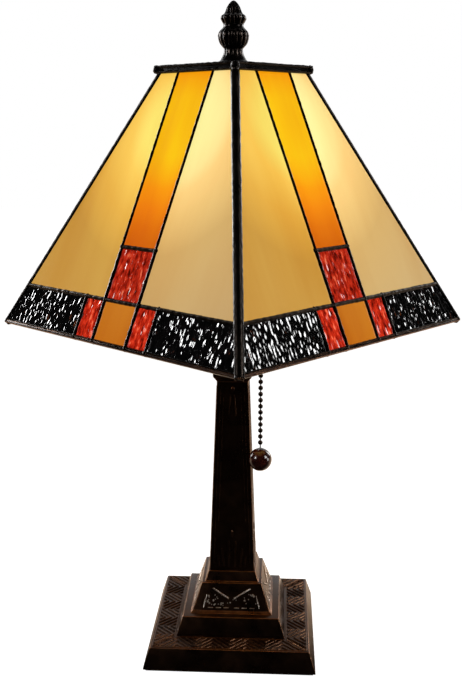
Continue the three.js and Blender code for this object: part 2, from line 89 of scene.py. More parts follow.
def face_matrix(face):
    """Places a face's own frame on the shade."""
    across, up, out = (0, 1, 0), (-math.sin(LEAN), 0, math.cos(LEAN)), (math.cos(LEAN), 0, math.sin(LEAN))
    stand = Matrix((across, up, out)).transposed().to_4x4()
    stand.translation = (RIM_HALF, 0, RIM_Z)
    return Matrix.Rotation(SHADE_TURN + face * QUARTER, 4, "Z") @ stand


def half_at(y):
    """Half the width of a face at a height up its slope."""
    return RIM_HALF - SPREAD * y / SLOPE


# ---- shaping ----

def add(target, part):
    """Moves one bmesh's geometry into another."""
    mesh = bpy.data.meshes.new("part")
    part.to_mesh(mesh)
    part.free()
    target.from_mesh(mesh)
    bpy.data.meshes.remove(mesh)


def merged(*parts):
    whole = bmesh.new()
    for part in parts:
        add(whole, part)
    return whole


def outward(bm):
    bmesh.ops.remove_doubles(bm, verts=bm.verts, dist=0.005 * MM)
    bmesh.ops.recalc_face_normals(bm, faces=bm.faces)
    return bm


def worn_layer(bm):
    """How rubbed each point is, from 0 to 1; the finishes show it."""
    return bm.verts.layers.float.get("worn") or bm.verts.layers.float.new("worn")


def softened(bm, width, segments=3, sharper_than=25):
    """Rounds every edge that turns by more than an angle in degrees."""
    limit = math.radians(sharper_than)
    sharp = [e for e in bm.edges if len(e.link_faces) == 2 and e.calc_face_angle(0) > limit]
    made = bmesh.ops.bevel(
        bm, geom=sharp, offset=width, offset_type="OFFSET", segments=segments, profile=0.5,
        affect="EDGES", clamp_overlap=True, material=-1,
    )
    rounded = set(made["faces"])
    worn = worn_layer(bm)
    for v in {v for face in rounded for v in face.verts}:
        v[worn] = float(all(face in rounded for face in v.link_faces))
    return bm


def copied(node):
    """A frame node's shape, merged and with its flat faces whole."""
    bm = bmesh.new()
    bm.from_mesh(nodes[node].data)
    bmesh.ops.remove_doubles(bm, verts=bm.verts, dist=0.01 * MM)
    bmesh.ops.dissolve_limit(bm, angle_limit=math.radians(2), verts=bm.verts, edges=bm.edges)
    return bm


def outline_spin(points, steps):
    bm = bmesh.new()
    verts = [bm.verts.new(p) for p in points]
    edges = [bm.edges.new(pair) for pair in zip(verts, verts[1:] + verts[:1])]
    bmesh.ops.spin(
        bm, geom=verts + edges, cent=(0, 0, 0), axis=(0, 0, 1), dvec=(0, 0, 0),
        angle=2 * math.pi, steps=steps, use_merge=True,
    )
    return outward(bm)


def turned(profile, steps=48):
    """A closed outline of (radius, z) points spun round the Z axis."""
    return outline_spin([(radius, 0, z) for radius, z in profile], steps)


def smooth_profile(points, steps=6):
    """Points on a smooth line through the given ones (a Catmull-Rom curve)."""
    ends = [points[0], *points, points[-1]]
    curve = []
    for a, b, c, d in zip(ends, ends[1:], ends[2:], ends[3:]):
        for i in range(steps):
            t = i / steps
            curve.append(tuple(
                0.5 * (2 * q + (r - p) * t + (2 * p - 5 * q + 4 * r - s) * t ** 2
                       + (3 * q - p - 3 * r + s) * t ** 3)
                for p, q, r, s in zip(a, b, c, d)
            ))
    return [*curve, points[-1]]


def bar(start, end, half_width, half_depth, out=(0, 0, 1), sides=10, step=None, lumps=0.0, seed=0.0):
    """A rounded bar between two points; lumps swell and pinch it as flowing solder does."""
    start, end = Vector(start), Vector(end)
    along = (end - start).normalized()
    length = (end - start).length
    depth = (Vector(out) - along * along.dot(Vector(out))).normalized()
    width = depth.cross(along)
    bm = bmesh.new()
    bmesh.ops.create_cone(bm, cap_ends=True, segments=sides, radius1=1, radius2=1, depth=length)
    if step and length > 2 * step:
        lengthwise = [e for e in bm.edges if abs(e.verts[0].co.z - e.verts[1].co.z) > length / 2]
        bmesh.ops.subdivide_edges(bm, edges=lengthwise, cuts=int(length / step), use_grid_fill=True)
    worn = worn_layer(bm)
    for v in bm.verts:
        v[worn] = max(0.0, v.co.y)
        at = Vector((0.3 * v.co.x, 0.3 * v.co.y, v.co.z / (3.2 * MM)))
        swell = 1 + lumps * noise.noise(at + Vector((seed, 2.3 * seed, 0)))
        v.co.x *= half_width * swell
        v.co.y *= half_depth * swell
    turn = Matrix((width, depth, along)).transposed().to_4x4()
    turn.translation = (start + end) / 2
    bmesh.ops.transform(bm, matrix=turn, verts=bm.verts)
    return bm


def pebble(centre, size, detail=2, seed=None):
    """A round or flattened bead; a seed makes it uneven."""
    bm = bmesh.new()
    bmesh.ops.create_icosphere(bm, subdivisions=detail, radius=1)
    worn = worn_layer(bm)
    for v in bm.verts:
        v[worn] = max(0.0, v.co.z)
        if seed is not None:
            v.co *= 1 + 0.18 * noise.noise(v.co * 1.3 + Vector((seed, 0, seed)))
    bmesh.ops.scale(bm, vec=size, verts=bm.verts)
    bmesh.ops.translate(bm, vec=centre, verts=bm.verts)
    return bm


def faded(bm, share):
    """Lessens the wear of a shape."""
    worn = worn_layer(bm)
    for v in bm.verts:
        v[worn] *= share
    return bm


def placed(bm, matrix):
    bmesh.ops.transform(bm, matrix=matrix, verts=bm.verts)
    return bm


def swept(points, radius):
    """A round wire or tube along a smooth line through points."""
    curve = bpy.data.curves.new("line", "CURVE")
    curve.dimensions = "3D"
    curve.bevel_depth = radius
    curve.bevel_resolution = 4
    curve.use_fill_caps = True
    curve.resolution_u = 10
    spline = curve.splines.new("BEZIER")
    spline.bezier_points.add(len(points) - 1)
    for knot, point in zip(spline.bezier_points, points):
        knot.co = point
        knot.handle_left_type = knot.handle_right_type = "AUTO"
    holder = bpy.data.objects.new("line", curve)
    bpy.context.scene.collection.objects.link(holder)
    mesh = bpy.data.meshes.new_from_object(holder.evaluated_get(bpy.context.evaluated_depsgraph_get()))
    bm = bmesh.new()
    bm.from_mesh(mesh)
    bpy.data.objects.remove(holder)
    bpy.data.curves.remove(curve)
    bpy.data.meshes.remove(mesh)
    return outward(bm)


def piece(name, bm, finish, body, slot, *stands_for, smooth=True, crease=40):
    """Makes a bmesh a finished piece that rides on a body."""
    mesh = bpy.data.meshes.new(name)
    bm.to_mesh(mesh)
    bm.free()
    mesh.materials.append(finish)
    if smooth:
        mesh.shade_smooth()
        mesh.set_sharp_from_angle(angle=math.radians(crease))
    obj = bpy.data.objects.new(name, mesh)
    bpy.context.scene.collection.objects.link(obj)
    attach(obj, body)
    if stands_for:
        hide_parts(*stands_for)
    return obj


# ---- finishes ----

def paint(code):
    """A linear colour from a six-figure web colour."""
    shares = [int(code[i:i + 2], 16) / 255 for i in (0, 2, 4)]
    return tuple(s / 12.92 if s <= 0.04045 else ((s + 0.055) / 1.055) ** 2.4 for s in shares) + (1,)


class Finish:
    """A material under construction, with short ways to add nodes to it."""

    def __init__(self, name, **fixed):
        self.material = bpy.data.materials.new(name)
        self.material.use_nodes = True
        self.tree = self.material.node_tree
        self.shader = self.tree.nodes["Principled BSDF"]
        for socket, value in fixed.items():
            self.shader.inputs[socket.replace("_", " ")].default_value = value
        self.place = self.node("ShaderNodeTexCoord").outputs["Object"]

    def node(self, kind, inputs=None, **settings):
        made = self.tree.nodes.new(kind)
        for key, value in settings.items():
            setattr(made, key, value)
        for socket, value in (inputs or {}).items():
            if isinstance(value, bpy.types.NodeSocket):
                self.tree.links.new(value, made.inputs[socket])
            else:
                made.inputs[socket].default_value = value
        return made

    def noise(self, scale, detail=3, roughness=0.5, place=None, stretch=None):
        """Cloudy noise; scale is how many swells fit in a metre, and stretch is by axis."""
        place = place or self.place
        if stretch:
            place = self.node("ShaderNodeMapping", {"Vector": place, "Scale": stretch}).outputs["Vector"]
        made = self.node("ShaderNodeTexNoise", {
            "Vector": place, "Scale": scale, "Detail": detail, "Roughness": roughness,
        })
        return made.outputs["Fac"]

    def ramp(self, factor, stops):
        """Colours, or plain values, at places from 0 to 1."""
        made = self.node("ShaderNodeValToRGB", {"Fac": factor})
        elements = made.color_ramp.elements
        while len(elements) < len(stops):
            elements.new(0.5)
        for element, (place, colour) in zip(elements, stops):
            element.position = place
            element.color = colour if isinstance(colour, tuple) else (colour, colour, colour, 1)
        return made.outputs["Color"]

    def mix(self, factor, first, second, blend="MIX"):
        made = self.node("ShaderNodeMix", data_type="RGBA", blend_type=blend)
        for socket, value in zip((made.inputs[0], made.inputs[6], made.inputs[7]), (factor, first, second)):
            if isinstance(value, bpy.types.NodeSocket):
                self.tree.links.new(value, socket)
            else:
                socket.default_value = value
        return made.outputs[2]

    def math(self, operation, *values):
        made = self.node("ShaderNodeMath", dict(enumerate(values)), operation=operation)
        return made.outputs["Value"]

    def bump(self, height, strength, distance, under=None):
        inputs = {"Height": height, "Strength": strength, "Distance": distance}
        if under:
            inputs["Normal"] = under
        return self.node("ShaderNodeBump", inputs).outputs["Normal"]

    def wire(self, **sockets):
        for socket, value in sockets.items():
            self.tree.links.new(value, self.shader.inputs[socket.replace("_", " ")])
        return self.material


def metal(name, dark, light, worn, metallic, roughness, grain, grain_depth, wear=0.5, specular=0.5):
    """Mottled metal, dark to light, that shows the worn colour where its edges are rubbed, with a
    fine cast or drawn grain: so many swells in a metre, and so deep."""
    f = Finish(name, Metallic=metallic, Specular_IOR_Level=specular)
    cloud = f.noise(55, 4, 0.6)
    fine = f.noise(grain, 3)
    colour = f.ramp(cloud, [(0.3, paint(dark)), (0.7, paint(light))])
    rubbed = f.node("ShaderNodeAttribute", attribute_name="worn").outputs["Fac"]
    patchy = f.math("MULTIPLY", rubbed, f.ramp(f.noise(130, 2), [(0.35, 0.3 * wear), (0.65, wear)]))
    colour = f.mix(patchy, colour, paint(worn))
    gloss = f.ramp(cloud, [(0.3, roughness - 0.07), (0.7, roughness + 0.1)])
    return f.wire(Base_Color=colour, Roughness=gloss, Normal=f.bump(fine, 0.35, grain_depth))


cast_bronze = metal("cast_bronze", "302017", "4c3526", "a27353", 0.96, 0.3, 900, 0.12 * MM, 0.55, 0.3)
# For the block's relief strokes: their crests turn near-white, partly real rubbed wear and partly a painted
# highlight.
rubbed_bronze_with_painted_highlight = metal("rubbed_bronze_with_painted_highlight", "5c4535", "8a6f5c", "f0e4d8", 0.9, 0.42, 900, 0.12 * MM, 1.0, 0.3)
finial_bronze = metal("finial_bronze", "0b0908", "1a1412", "4c423b", 0.9, 0.24, 900, 0.1 * MM, 0.5, 0.3)
leading_patina = metal("leading_patina", "070606", "14110f", "3c332d", 0.92, 0.32, 420, 0.25 * MM, 0.3, 0.25)
rim_copper = metal("rim_copper", "120b08", "2a1b13", "a9795a", 0.9, 0.32, 500, 0.15 * MM, 0.6, 0.3)
antique_brass = metal("antique_brass", "5a4320", "94713a", "c8a565", 0.95, 0.33, 1200, 0.05 * MM)
zinc_steel = metal("zinc_steel", "777a7c", "a3a6a8", "d8dadb", 0.95, 0.36, 1500, 0.04 * MM)
chain_bronze = metal("chain_bronze", "090605", "1a110c", "46332a", 0.8, 0.3, 1500, 0.03 * MM)


def felt_finish():
    f = Finish("wool_felt", Roughness=1.0, Sheen_Weight=0.3, Sheen_Roughness=0.6)
    fibres = f.noise(2200, 4, 0.7)
    colour = f.ramp(f.noise(300, 3), [(0.3, paint("120f0c")), (0.7, paint("26211b"))])
    return f.wire(Base_Color=colour, Normal=f.bump(fibres, 0.8, 0.4 * MM))


def moulded_finish():
    f = Finish("moulded_phenolic", Specular_IOR_Level=0.45)
    cloud = f.noise(80, 3)
    colour = f.ramp(cloud, [(0.3, paint("130f0d")), (0.7, paint("231b17"))])
    gloss = f.ramp(cloud, [(0.3, 0.38), (0.7, 0.55)])
    return f.wire(Base_Color=colour, Roughness=gloss, Normal=f.bump(f.noise(1400, 2), 0.2, 0.05 * MM))


def ball_finish():
    f = Finish("ball_lacquer", Specular_IOR_Level=0.3, Coat_Weight=0.45, Coat_Roughness=0.06)
    cloud = f.noise(120, 4, 0.6)
    colour = f.ramp(cloud, [(0.3, paint("160504")), (0.7, paint("34100a"))])
    gloss = f.ramp(cloud, [(0.3, 0.16), (0.7, 0.28)])
    return f.wire(Base_Color=colour, Roughness=gloss, Normal=f.bump(f.noise(700, 2), 0.1, 0.05 * MM))


def bulb_finish():
    f = Finish("frosted_bulb", Roughness=0.45, Emission_Strength=2.5)
    cloud = f.noise(30, 2)
    colour = f.ramp(cloud, [(0.3, paint("fff0cc")), (0.7, paint("fff8e4"))])
    glow = f.ramp(cloud, [(0.3, paint("ffdf9e")), (0.7, paint("ffe9b8"))])
    return f.wire(Base_Color=colour, Emission_Color=glow, Normal=f.bump(f.noise(900, 2), 0.2, 0.05 * MM))


wool_felt = felt_finish()
moulded_phenolic = moulded_finish()
ball_lacquer = ball_finish()
frosted_bulb = bulb_finish()

# These set the glass's painted glow, emission standing in for the bulb's light behind it.
GLOW_NEAR = 60 * MM              # from the bulb's centre, where the glass is brightest
GLOW_FAR = 170 * MM
GLOW_STRENGTH = 0.93


def lit_glass(name, body, glow, wisp, wisp_share, roughness):
    """Opal glass with a painted glow, emission standing in for the bulb's light behind it: the glow
    fades with distance from the bulb and is streaked along the sheet. glow holds (distance, colour) stops,
    and wisp is the streaks' colour."""
    f = Finish(name, Specular_IOR_Level=0.5, Emission_Strength=GLOW_STRENGTH)
    sheet = f.node("ShaderNodeUVMap", uv_map="glass_sheet").outputs["UV"]
    far = f.node("ShaderNodeVectorMath", {0: f.place, 1: BULB_CENTRE}, operation="DISTANCE").outputs["Value"]
    share = f.node("ShaderNodeMapRange", {
        "Value": far, "From Min": GLOW_NEAR, "From Max": GLOW_FAR,
    }).outputs["Result"]
    stops = [((d * MM - GLOW_NEAR) / (GLOW_FAR - GLOW_NEAR), paint(c)) for d, c in glow]
    light = f.ramp(share, stops)
    streaks = f.noise(1, 4, 0.55, sheet, (70, 8, 1))
    broad = f.noise(1, 2, 0.5, sheet, (20, 5, 1))
    wispy = f.math("ADD", f.math("MULTIPLY", streaks, 0.25), f.math("MULTIPLY", broad, 0.75))
    blend = f.ramp(wispy, [(0.38, 0.0), (0.66, wisp_share)])
    light = f.mix(blend, light, f.mix(1.0, light, paint(wisp), "MULTIPLY"))
    skin = f.mix(blend, paint(body), f.mix(1.0, paint(body), paint(wisp), "MULTIPLY"))
    gloss = f.ramp(streaks, [(0.3, roughness - 0.03), (0.7, roughness + 0.05)])
    waves = f.bump(f.noise(1, 2, 0.5, sheet, (40, 12, 1)), 0.15, 0.4 * MM)
    return f.wire(Base_Color=skin, Emission_Color=light, Roughness=gloss, Normal=waves)


honey_cream_glass = lit_glass(
    "honey_cream_glass", "705931",
    [(66, "fdec74"), (75, "fdd05a"), (92, "e6b044"), (116, "c6963e"), (165, "c4984a")],
    "edd6a8", 0.6, 0.14,
)
pale_cream_glass = lit_glass(
    "pale_cream_glass", "7a653e",
    [(66, "fefba8"), (74, "feec9c"), (80, "fed686"), (92, "ecc478"), (112, "cca666"), (165, "c0a474")],
    "f2dcc0", 0.6, 0.14,
)
amber_glass = lit_glass(
    "amber_glass", "6c3f0c",
    [(64, "fdce12"), (69, "fcbc10"), (75, "fba00c"), (84, "f2880c"), (94, "de7009"), (104, "ce6008")],
    "e8a850", 0.6, 0.12,
)
orange_glass = lit_glass(
    "orange_glass", "583210", [(100, "d49030"), (165, "c8781c")], "dca878", 0.6, 0.12,
)


def red_glass_finish(name, strength):
    """Streaky red over rippled glass, with a painted glow, emission standing in for the bulb's light behind
    it, that runs from deep to bright along the streaks.
    """
    f = Finish(name, Specular_IOR_Level=0.55, Emission_Strength=strength)
    sheet = f.node("ShaderNodeUVMap", uv_map="glass_sheet").outputs["UV"]
    streaks = f.noise(1, 4, 0.6, sheet, (330, 120, 1))
    light = f.ramp(streaks, [
        (0.34, paint("2a0300")), (0.45, paint("8c1406")), (0.58, paint("c22c14")), (0.71, paint("ea8058")),
    ])
    skin = f.ramp(streaks, [(0.35, paint("3c0803")), (0.65, paint("7c1c0c"))])
    gloss = f.ramp(streaks, [(0.3, 0.07), (0.7, 0.16)])
    return f.wire(Base_Color=skin, Emission_Color=light, Roughness=gloss)


def dark_glass_finish():
    """Near-black rippled glass with rare orange-brown painted glints: emission standing in for the light
    behind it.
    """
    f = Finish("rippled_dark_glass", Specular_IOR_Level=1.0, Emission_Strength=0.5)
    sheet = f.node("ShaderNodeUVMap", uv_map="glass_sheet").outputs["UV"]
    streaks = f.noise(1, 3, 0.6, sheet, (260, 90, 1))
    # Painted glints: orange-brown emission on the streaks' peaks.
    painted_ember_glint = f.ramp(streaks, [(0.66, paint("000000")), (0.74, paint("7a3a10"))])
    skin = f.ramp(streaks, [(0.3, paint("020202")), (0.7, paint("0d0b0b"))])
    gloss = f.ramp(streaks, [(0.3, 0.05), (0.7, 0.12)])
    return f.wire(Base_Color=skin, Emission_Color=painted_ember_glint, Roughness=gloss)


# Both reds carry a painted glow from behind; the squares' glow is the brighter.
red_glass = red_glass_finish("rippled_red_glass", 0.85)
bright_red_glass = red_glass_finish("rippled_bright_red_glass", 1.15)
dark_glass = dark_glass_finish()


# ---- glass ----

def sheet_of_glass(corners, cell, relief=None, shift=0.0):
    """A four-cornered sheet in a face's own frame, counted from its lower left corner. A relief
    gives the outer face's height at a point; the sheet's own map runs in metres."""
    width = (corners[1] - corners[0]).length
    height = (corners[3] - corners[0]).length
    bm = bmesh.new()
    bmesh.ops.create_grid(
        bm, x_segments=max(1, round(width / cell)), y_segments=max(1, round(height / cell)), size=1,
    )
    for v in bm.verts:
        s, t = (v.co.x + 1) / 2, (v.co.y + 1) / 2
        low = corners[0].lerp(corners[1], s)
        high = corners[3].lerp(corners[2], s)
        at = low.lerp(high, t)
        v.co = (at.x, at.y, -GLASS_DEPTH)
    grown = bmesh.ops.extrude_face_region(bm, geom=bm.faces[:], use_keep_orig=True)
    back = [g for g in grown["geom"] if isinstance(g, bmesh.types.BMVert)]
    bmesh.ops.translate(bm, vec=(0, 0, -GLASS_THICKNESS), verts=back)
    bmesh.ops.recalc_face_normals(bm, faces=bm.faces)
    if relief:
        for v in bm.verts:
            if v.co.z > -GLASS_DEPTH - 0.1 * MM:
                v.co.z += relief(v.co.x, v.co.y)
    sheet = bm.loops.layers.uv.new("glass_sheet")
    for face in bm.faces:
        for loop in face.loops:
            loop[sheet].uv = (loop.vert.co.x + shift, loop.vert.co.y + 0.37 * shift)
    return bm


PANE_INSET = 0.5 * MM            # from a lead's middle line to the glass beneath it
RIDGE_LAP = 0.6 * MM             # of the ridge solder over the glass
RIM_INSET = 2 * MM
NECK_OVERLAP = 2 * MM

PANES = [
    ("amber_strip", amber_glass, "amber_glass", 0, None, RED_LINE, SLOPE + NECK_OVERLAP),
    ("red_panel", red_glass, "red_glass", 0, None, BORDER_LINE, RED_LINE),
    ("orange_square", orange_glass, "orange_glass", 0, None, RIM_INSET, BORDER_LINE),
    ("cream_panel", None, "cream_glass", STRIP_LINE, None, BORDER_LINE, SLOPE + NECK_OVERLAP),
    ("dark_border", dark_glass, "dark_glass", SQUARE_LINE, None, RIM_INSET, BORDER_LINE),
    ("red_square", bright_red_glass, "red_glass", STRIP_LINE, SQUARE_LINE, RIM_INSET, BORDER_LINE),
]


def ridge_half(corner):
    """Half the width of the solder on a hip: heavy over the seams that the frame was closed with."""
    return (3.2 if corner % 2 == 0 else 1.9) * MM


def pane_corners(near, far, low, high, side, ridge_inset):
    """Lower left, lower right, upper right and upper left corners of a pane."""
    low, high = low + PANE_INSET, high - PANE_INSET
    if side == 0:
        near, far_low, far_high = -(STRIP_LINE - PANE_INSET), STRIP_LINE - PANE_INSET, STRIP_LINE - PANE_INSET
    elif far:
        near, far_low, far_high = near + PANE_INSET, far - PANE_INSET, far - PANE_INSET
    else:
        near, far_low, far_high = near + PANE_INSET, half_at(low) - ridge_inset, half_at(high) - ridge_inset
    corners = [(near, low), (far_low, low), (far_high, high), (near, high)]
    if side < 0:
        corners = [(-x, y) for x, y in (corners[1], corners[0], corners[3], corners[2])]
    return [Vector(corner) for corner in corners]


def ripple(seed, depth, length):
    """Rippled glass: ridges a couple of millimetres apart that run up the sheet and break off."""
    def height(x, y):
        wide = noise.noise(Vector((x / (1.6 * MM), y / length, seed)))
        fine = noise.noise(Vector((x / (1.2 * MM), y / (0.5 * length), seed + 5)))
        return depth * (0.42 * MM * wide + 0.18 * MM * fine)
    return height


RIPPLED = {"dark_glass": (1.0, 4.8 * MM), "red_glass": (0.75, 7.5 * MM)}    # depth, length of a ridge


def make_panes():
    for face in range(4):
        for order, (name, finish, slot, near, far, low, high) in enumerate(PANES):
            for side in ((0,) if near == 0 else (-1, 1)):
                mark = {0: "", -1: "left_", 1: "right_"}[side]
                node = f"{name}_{mark}{face + 1}"
                look = finish or (honey_cream_glass if side < 0 else pale_cream_glass)
                seed = 7.0 * face + 1.7 * order + side
                rippled = slot in RIPPLED
                ridge_inset = ridge_half(face if side > 0 else face - 1) - RIDGE_LAP
                bm = sheet_of_glass(
                    pane_corners(near, far, low, high, side, ridge_inset), 0.6 * MM if rippled else 12 * MM,
                    ripple(seed, *RIPPLED[slot]) if rippled else None, seed,
                )
                piece(f"glass_{node}", placed(bm, face_matrix(face)), look, "shade", slot, node)


make_panes()


# ---- leading ----

LEAD_HALF = 1.25 * MM            # of the lines up the strip
HEAVY_HALF = 1.75 * MM           # of the lines round the red panel and along the border
LEAD_HALF_DEPTH = 2.9 * MM
CROSSING_HALF = 2.2 * MM         # of the solder gathered where two lines meet
CROSSING_HALF_DEPTH = 3.05 * MM


def lead(start, end, seed, half):
    """One soldered line of a face, in the face's own frame."""
    return bar(
        (*start, -LEAD_DEPTH), (*end, -LEAD_DEPTH), half, LEAD_HALF_DEPTH, sides=12, step=1.2 * MM,
        lumps=0.12, seed=seed,
    )


def face_leading(face):
    top = SLOPE + 3 * MM
    border_half = half_at(BORDER_LINE) - 2 * MM
    lines = [((-border_half, BORDER_LINE), (border_half, BORDER_LINE), HEAVY_HALF),
             ((-STRIP_LINE, RED_LINE), (STRIP_LINE, RED_LINE), HEAVY_HALF)]
    for side in (-1, 1):
        lines.append(((side * STRIP_LINE, RIM_INSET), (side * STRIP_LINE, RED_LINE), HEAVY_HALF))
        lines.append(((side * STRIP_LINE, RED_LINE), (side * STRIP_LINE, top), LEAD_HALF))
        lines.append(((side * SQUARE_LINE, RIM_INSET), (side * SQUARE_LINE, BORDER_LINE), HEAVY_HALF))
    parts = [lead(start, end, 11 * face + i, half) for i, (start, end, half) in enumerate(lines)]
    crossings = [(side * x, y) for side in (-1, 1) for x, y in (
        (STRIP_LINE, BORDER_LINE), (SQUARE_LINE, BORDER_LINE), (STRIP_LINE, RED_LINE),
        (STRIP_LINE, RIM_INSET), (SQUARE_LINE, RIM_INSET),
    )]
    for i, (x, y) in enumerate(crossings):
        size = (CROSSING_HALF, CROSSING_HALF, CROSSING_HALF_DEPTH)
        parts.append(pebble((x, y, -LEAD_DEPTH), size, 3, seed=face + 3 * i))
    return placed(merged(*parts), face_matrix(face))


def ridge_solder(corner):
    """The thick solder over the hip between two faces, from the rim's corner to the cap."""
    azimuth = SHADE_TURN + (corner + 0.5) * QUARTER
    diagonal = Vector((math.cos(azimuth), math.sin(azimuth), 0))
    foot = diagonal * RIM_HALF * math.sqrt(2) + Vector((0, 0, RIM_Z))
    head = diagonal * NECK_HALF * math.sqrt(2) + Vector((0, 0, NECK_Z))
    along = (head - foot).normalized()
    out = (diagonal - along * along.dot(diagonal)).normalized()
    half = ridge_half(corner)
    sunk = -0.75 * half * out
    outer = bar(
        foot + sunk + 1.5 * MM * along, head + sunk + 2 * MM * along, half, 0.88 * half, out=out,
        sides=20, step=0.9 * MM, lumps=0.07, seed=5.3 * corner,
    )
    inside = -4.4 * MM * out
    inner = bar(
        foot + inside + 2.5 * MM * along, head + inside + 2 * MM * along, 2.3 * MM, 1.6 * MM, out=out,
        sides=12, step=1.5 * MM, lumps=0.1, seed=5.3 * corner + 2,
    )
    return merged(outer, inner)


def rim_channel(face):
    """The bent strip that closes the rim; rim_solder adds the solder line where it meets the glass."""
    half = RIM_HALF - 0.5 * MM
    channel = bmesh.new()
    bmesh.ops.create_cube(channel, size=1)
    bmesh.ops.scale(channel, vec=(2 * half, 2.4 * MM, 5 * MM), verts=channel.verts)
    bmesh.ops.translate(channel, vec=(0, 1.25 * MM, -LEAD_DEPTH), verts=channel.verts)
    softened(channel, 0.7 * MM, 3)
    return placed(channel, face_matrix(face))


def rim_solder(face):
    half = RIM_HALF - 1.5 * MM
    line = bar(
        (-half, 2.7 * MM, -LEAD_DEPTH), (half, 2.7 * MM, -LEAD_DEPTH), 0.9 * MM, 2.9 * MM, sides=10,
        step=1.5 * MM, lumps=0.15, seed=face + 40,
    )
    return placed(line, face_matrix(face))


def make_cap():
    """The cap's pan, with solder run along its edges and gathered at its corners."""
    low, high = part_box("shade_cap")
    cap = softened(copied("shade_cap"), 0.9 * MM, 4, 40)
    edge = max(v.co.dot(Vector((math.cos(SHADE_TURN), math.sin(SHADE_TURN), 0))) for v in cap.verts)
    solder = []
    for side in range(4):
        turn = Matrix.Rotation(SHADE_TURN + side * QUARTER, 4, "Z")
        parts = []
        for z, depth in ((low.z + 1.2 * MM, 0.8 * MM), (high.z - 0.9 * MM, 0.6 * MM)):
            parts.append(bar(
                (edge - 0.1 * MM, -edge, z), (edge - 0.1 * MM, edge, z), 0.9 * MM, depth, out=(1, 0, 0),
                sides=10, step=1.4 * MM, lumps=0.35, seed=side + 60 * z,
            ))
        corner = edge - 1.4 * MM
        middle = (low.z + high.z) / 2
        tall = (high.z - low.z) / 2
        parts.append(pebble((corner, corner, middle), (2.9 * MM, 2.9 * MM, 1.08 * tall), 3, seed=side))
        if side % 2 == 0:
            parts.append(bar(
                (corner, corner, low.z + 0.4 * MM), (corner, corner, high.z - 0.6 * MM), 2.4 * MM,
                2.7 * MM, out=(1, 1, 0), sides=14, step=0.8 * MM, lumps=0.2, seed=side + 80,
            ))
        solder.append(placed(merged(*parts), turn))
    piece("cap_pan", merged(cap, *solder), leading_patina, "shade", "leading", "shade_cap")


def make_leading():
    for face in range(4):
        stands_for = ("shade_came",) if face == 0 else ()
        piece(f"leading_face_{face + 1}", face_leading(face), leading_patina, "shade", "leading", *stands_for)
        piece(f"ridge_solder_{face + 1}", ridge_solder(face), leading_patina, "shade", "leading")
        piece(f"rim_channel_{face + 1}", rim_channel(face), rim_copper, "shade", "leading")
        piece(f"rim_solder_{face + 1}", rim_solder(face), leading_patina, "shade", "leading")
    make_cap()


make_leading()


# ---- base ----

PLINTH_TOP_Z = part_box("base_plinth")[1].z
BAND_INNER = 43.6 * MM           # of the relief on the plinth's top, from the lamp's axis
BAND_OUTER = 57.0 * MM
ZIGZAG_HALF = 13.2 * MM
RIB_HALF = 0.9 * MM
MITRE_MARGIN = 3.4 * MM
MITRE_START = 43.5 * MM          # of the beads on a diagonal, along X and along Y


def clipped(start, end):
    """The stretch of a line that lies in the relief band of one side of the plinth, or None."""
    low, high = 0.0, 1.0
    limits = [
        (lambda p: p.y - BAND_INNER), (lambda p: BAND_OUTER - p.y),
        (lambda p: p.y - MITRE_MARGIN - p.x), (lambda p: p.y - MITRE_MARGIN + p.x),
    ]
    for inside in limits:
        a, b = inside(start), inside(end)
        if a < 0 and b < 0:
            return None
        if a < 0:
            low = max(low, a / (a - b))
        elif b < 0:
            high = min(high, a / (a - b))
    if (high - low) * (end - start).length < 2 * MM:
        return None
    return start.lerp(end, low), start.lerp(end, high)


def zigzag_band():
    """Nested zigzag ribs along one side of the plinth's top."""
    parts = []
    for offset in (10 * MM, 5 * MM, 0, -5 * MM, -10 * MM):
        for i in range(-5, 5):
            ends = [
                Vector((k * ZIGZAG_HALF, (BAND_OUTER if k % 2 == 0 else BAND_INNER) + offset))
                for k in (i, i + 1)
            ]
            kept = clipped(*ends)
            if kept:
                start, end = kept
                parts.append(bar(
                    (start.x, start.y, PLINTH_TOP_Z), (end.x, end.y, PLINTH_TOP_Z),
                    RIB_HALF, 0.9 * MM, sides=8,
                ))
    for x in (BAND_INNER - 0.9 * MM, BAND_OUTER + 0.9 * MM):
        half = x - 1.2 * MM
        parts.append(bar((-half, x, PLINTH_TOP_Z), (half, x, PLINTH_TOP_Z), 0.45 * MM, 0.4 * MM, sides=8))
    return merged(*parts)


def mitre_rib():
    """A row of beads between two thin lines, on the diagonal of one corner."""
    parts = []
    across = Vector((1, -1, 0)).normalized()
    start = Vector((MITRE_START, MITRE_START, PLINTH_TOP_Z))
    end = Vector((BAND_OUTER, BAND_OUTER, PLINTH_TOP_Z))
    for side in (-1, 1):
        shift = side * 1.35 * MM * across
        parts.append(bar(start + shift, end + shift, 0.4 * MM, 0.45 * MM, sides=8))
    count = 13
    for i in range(count):
        at = start.lerp(end, i / (count - 1))
        parts.append(pebble(at, (0.75 * MM, 0.75 * MM, 0.9 * MM), 1))
    return merged(*parts)


def make_plinth():
    plinth = softened(copied("base_plinth"), 0.7 * MM, 3, 40)
    piece("plinth_casting", plinth, cast_bronze, "root", "cast_bronze", "base_plinth")
    turns = [Matrix.Rotation(side * QUARTER, 4, "Z") for side in range(4)]
    bands = merged(*(placed(zigzag_band(), turn) for turn in turns))
    piece("plinth_relief", faded(bands, 0.5), cast_bronze, "root", "cast_bronze")
    mitres = merged(*(placed(mitre_rib(), turn) for turn in turns))
    piece("mitre_beading", mitres, cast_bronze, "root", "cast_bronze")


make_plinth()

BLOCK_FOOT_Z = 32.7 * MM
BLOCK_TOP_Z = 52.8 * MM
BLOCK_FOOT = 29.9 * MM
BLOCK_TOP = 23.0 * MM


